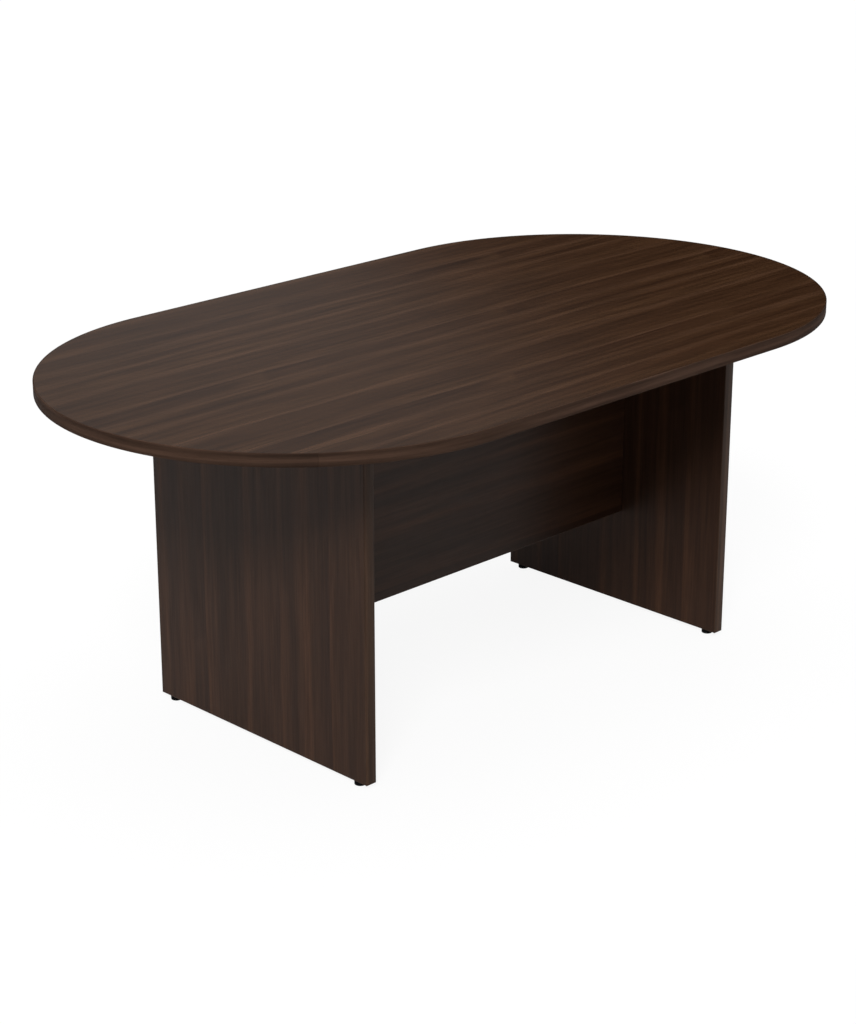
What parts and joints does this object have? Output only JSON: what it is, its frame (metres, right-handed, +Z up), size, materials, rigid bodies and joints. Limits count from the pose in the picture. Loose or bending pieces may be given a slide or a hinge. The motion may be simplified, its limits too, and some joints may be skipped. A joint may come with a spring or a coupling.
{
  "type": "conference table",
  "caption": "Conference table with a rounded-end top on slab end panels, a cross panel between them, cam-locked joints and screw feet for levelling.",
  "frame": {"origin": "on the floor under the middle of the top", "axes": "+X along the top's length, +Y from the front to the rear, +Z up"},
  "size_m": [1.8, 1, 0.73],
  "materials": {
    "walnut_face": "dark walnut melamine-faced board, satin",
    "walnut_edging": "dark walnut plastic edging strip, satin",
    "cam_zinc": "cast zinc alloy, bare",
    "bolt_steel": "bright zinc-plated steel",
    "beech_dowel": "bare beech",
    "sleeve_zinc": "cast zinc alloy, bare",
    "stem_steel": "bright zinc-plated steel",
    "pad_plastic": "black moulded nylon"
  },
  "bodies": {
    "table": {"top_board": "walnut_face", "left_end_panel": "walnut_face", "right_end_panel": "walnut_face", "cross_panel": "walnut_face", "top_edging": "walnut_edging", "cross_panel_edging": "walnut_edging", "left_front_edging": "walnut_edging", "left_rear_edging": "walnut_edging", "left_bottom_edging": "walnut_edging", "right_front_edging": "walnut_edging", "right_rear_edging": "walnut_edging", "right_bottom_edging": "walnut_edging", "left_front_top_bolt": "bolt_steel", "left_rear_top_bolt": "bolt_steel", "left_upper_cross_bolt": "bolt_steel", "left_lower_cross_bolt": "bolt_steel", "left_cross_top_bolt": "bolt_steel", "right_front_top_bolt": "bolt_steel", "right_rear_top_bolt": "bolt_steel", "right_upper_cross_bolt": "bolt_steel", "right_lower_cross_bolt": "bolt_steel", "right_cross_top_bolt": "bolt_steel", "left_front_top_dowel": "beech_dowel", "left_rear_top_dowel": "beech_dowel", "left_upper_cross_dowel": "beech_dowel", "left_lower_cross_dowel": "beech_dowel", "left_cross_top_dowel": "beech_dowel", "right_front_top_dowel": "beech_dowel", "right_rear_top_dowel": "beech_dowel", "right_upper_cross_dowel": "beech_dowel", "right_lower_cross_dowel": "beech_dowel", "right_cross_top_dowel": "beech_dowel", "left_front_foot_sleeve": "sleeve_zinc", "left_rear_foot_sleeve": "sleeve_zinc", "right_front_foot_sleeve": "sleeve_zinc", "right_rear_foot_sleeve": "sleeve_zinc"},
    "left_front_foot_stem": {"left_front_foot_stem": "stem_steel"},
    "left_front_foot_pad": {"left_front_foot_pad": "pad_plastic"},
    "left_rear_foot_stem": {"left_rear_foot_stem": "stem_steel"},
    "left_rear_foot_pad": {"left_rear_foot_pad": "pad_plastic"},
    "right_front_foot_stem": {"right_front_foot_stem": "stem_steel"},
    "right_front_foot_pad": {"right_front_foot_pad": "pad_plastic"},
    "right_rear_foot_stem": {"right_rear_foot_stem": "stem_steel"},
    "right_rear_foot_pad": {"right_rear_foot_pad": "pad_plastic"},
    "left_front_top_cam": {"left_front_top_cam": "cam_zinc"},
    "left_rear_top_cam": {"left_rear_top_cam": "cam_zinc"},
    "left_upper_cross_cam": {"left_upper_cross_cam": "cam_zinc"},
    "left_lower_cross_cam": {"left_lower_cross_cam": "cam_zinc"},
    "left_cross_top_cam": {"left_cross_top_cam": "cam_zinc"},
    "right_front_top_cam": {"right_front_top_cam": "cam_zinc"},
    "right_rear_top_cam": {"right_rear_top_cam": "cam_zinc"},
    "right_upper_cross_cam": {"right_upper_cross_cam": "cam_zinc"},
    "right_lower_cross_cam": {"right_lower_cross_cam": "cam_zinc"},
    "right_cross_top_cam": {"right_cross_top_cam": "cam_zinc"}
  },
  "joints": [
    {"name": "left_front_foot_travel", "type": "slide", "parent": "table", "child": "left_front_foot_stem", "axis": [0, 0, -1], "range_m": [0, 0.0125]},
    {"name": "left_front_foot_turn", "type": "hinge", "parent": "left_front_foot_stem", "child": "left_front_foot_pad", "pos_m": [-0.5145, -0.27, 0], "axis": [0, 0, -1], "range_deg": [0, 3600]},
    {"name": "left_rear_foot_travel", "type": "slide", "parent": "table", "child": "left_rear_foot_stem", "axis": [0, 0, -1], "range_m": [0, 0.0125]},
    {"name": "left_rear_foot_turn", "type": "hinge", "parent": "left_rear_foot_stem", "child": "left_rear_foot_pad", "pos_m": [-0.5145, 0.27, 0], "axis": [0, 0, -1], "range_deg": [0, 3600]},
    {"name": "right_front_foot_travel", "type": "slide", "parent": "table", "child": "right_front_foot_stem", "axis": [0, 0, -1], "range_m": [0, 0.0125]},
    {"name": "right_front_foot_turn", "type": "hinge", "parent": "right_front_foot_stem", "child": "right_front_foot_pad", "pos_m": [0.5145, -0.27, 0], "axis": [0, 0, -1], "range_deg": [0, 3600]},
    {"name": "right_rear_foot_travel", "type": "slide", "parent": "table", "child": "right_rear_foot_stem", "axis": [0, 0, -1], "range_m": [0, 0.0125]},
    {"name": "right_rear_foot_turn", "type": "hinge", "parent": "right_rear_foot_stem", "child": "right_rear_foot_pad", "pos_m": [0.5145, 0.27, 0], "axis": [0, 0, -1], "range_deg": [0, 3600]},
    {"name": "left_front_top_cam_turn", "type": "hinge", "parent": "table", "child": "left_front_top_cam", "pos_m": [-0.5145, -0.22, 0.671], "axis": [1, 0, 0], "range_deg": [0, 190]},
    {"name": "left_rear_top_cam_turn", "type": "hinge", "parent": "table", "child": "left_rear_top_cam", "pos_m": [-0.5145, 0.22, 0.671], "axis": [1, 0, 0], "range_deg": [0, 190]},
    {"name": "left_upper_cross_cam_turn", "type": "hinge", "parent": "table", "child": "left_upper_cross_cam", "pos_m": [-0.468, -0.021, 0.645], "axis": [0, 1, 0], "range_deg": [0, 190]},
    {"name": "left_lower_cross_cam_turn", "type": "hinge", "parent": "table", "child": "left_lower_cross_cam", "pos_m": [-0.468, -0.021, 0.278], "axis": [0, 1, 0], "range_deg": [0, 190]},
    {"name": "left_cross_top_cam_turn", "type": "hinge", "parent": "table", "child": "left_cross_top_cam", "pos_m": [-0.25, -0.021, 0.671], "axis": [0, 1, 0], "range_deg": [0, 190]},
    {"name": "right_front_top_cam_turn", "type": "hinge", "parent": "table", "child": "right_front_top_cam", "pos_m": [0.5145, -0.22, 0.671], "axis": [-1, 0, 0], "range_deg": [0, 190]},
    {"name": "right_rear_top_cam_turn", "type": "hinge", "parent": "table", "child": "right_rear_top_cam", "pos_m": [0.5145, 0.22, 0.671], "axis": [-1, 0, 0], "range_deg": [0, 190]},
    {"name": "right_upper_cross_cam_turn", "type": "hinge", "parent": "table", "child": "right_upper_cross_cam", "pos_m": [0.468, -0.021, 0.645], "axis": [0, 1, 0], "range_deg": [0, 190]},
    {"name": "right_lower_cross_cam_turn", "type": "hinge", "parent": "table", "child": "right_lower_cross_cam", "pos_m": [0.468, -0.021, 0.278], "axis": [0, 1, 0], "range_deg": [0, 190]},
    {"name": "right_cross_top_cam_turn", "type": "hinge", "parent": "table", "child": "right_cross_top_cam", "pos_m": [0.25, -0.021, 0.671], "axis": [0, 1, 0], "range_deg": [0, 190]}
  ],
  "couplings": [
    {"joint": "left_front_foot_travel", "follows": "left_front_foot_turn", "m_per_rad": 0.00019894},
    {"joint": "left_rear_foot_travel", "follows": "left_rear_foot_turn", "m_per_rad": 0.00019894},
    {"joint": "right_front_foot_travel", "follows": "right_front_foot_turn", "m_per_rad": 0.00019894},
    {"joint": "right_rear_foot_travel", "follows": "right_rear_foot_turn", "m_per_rad": 0.00019894}
  ]
}
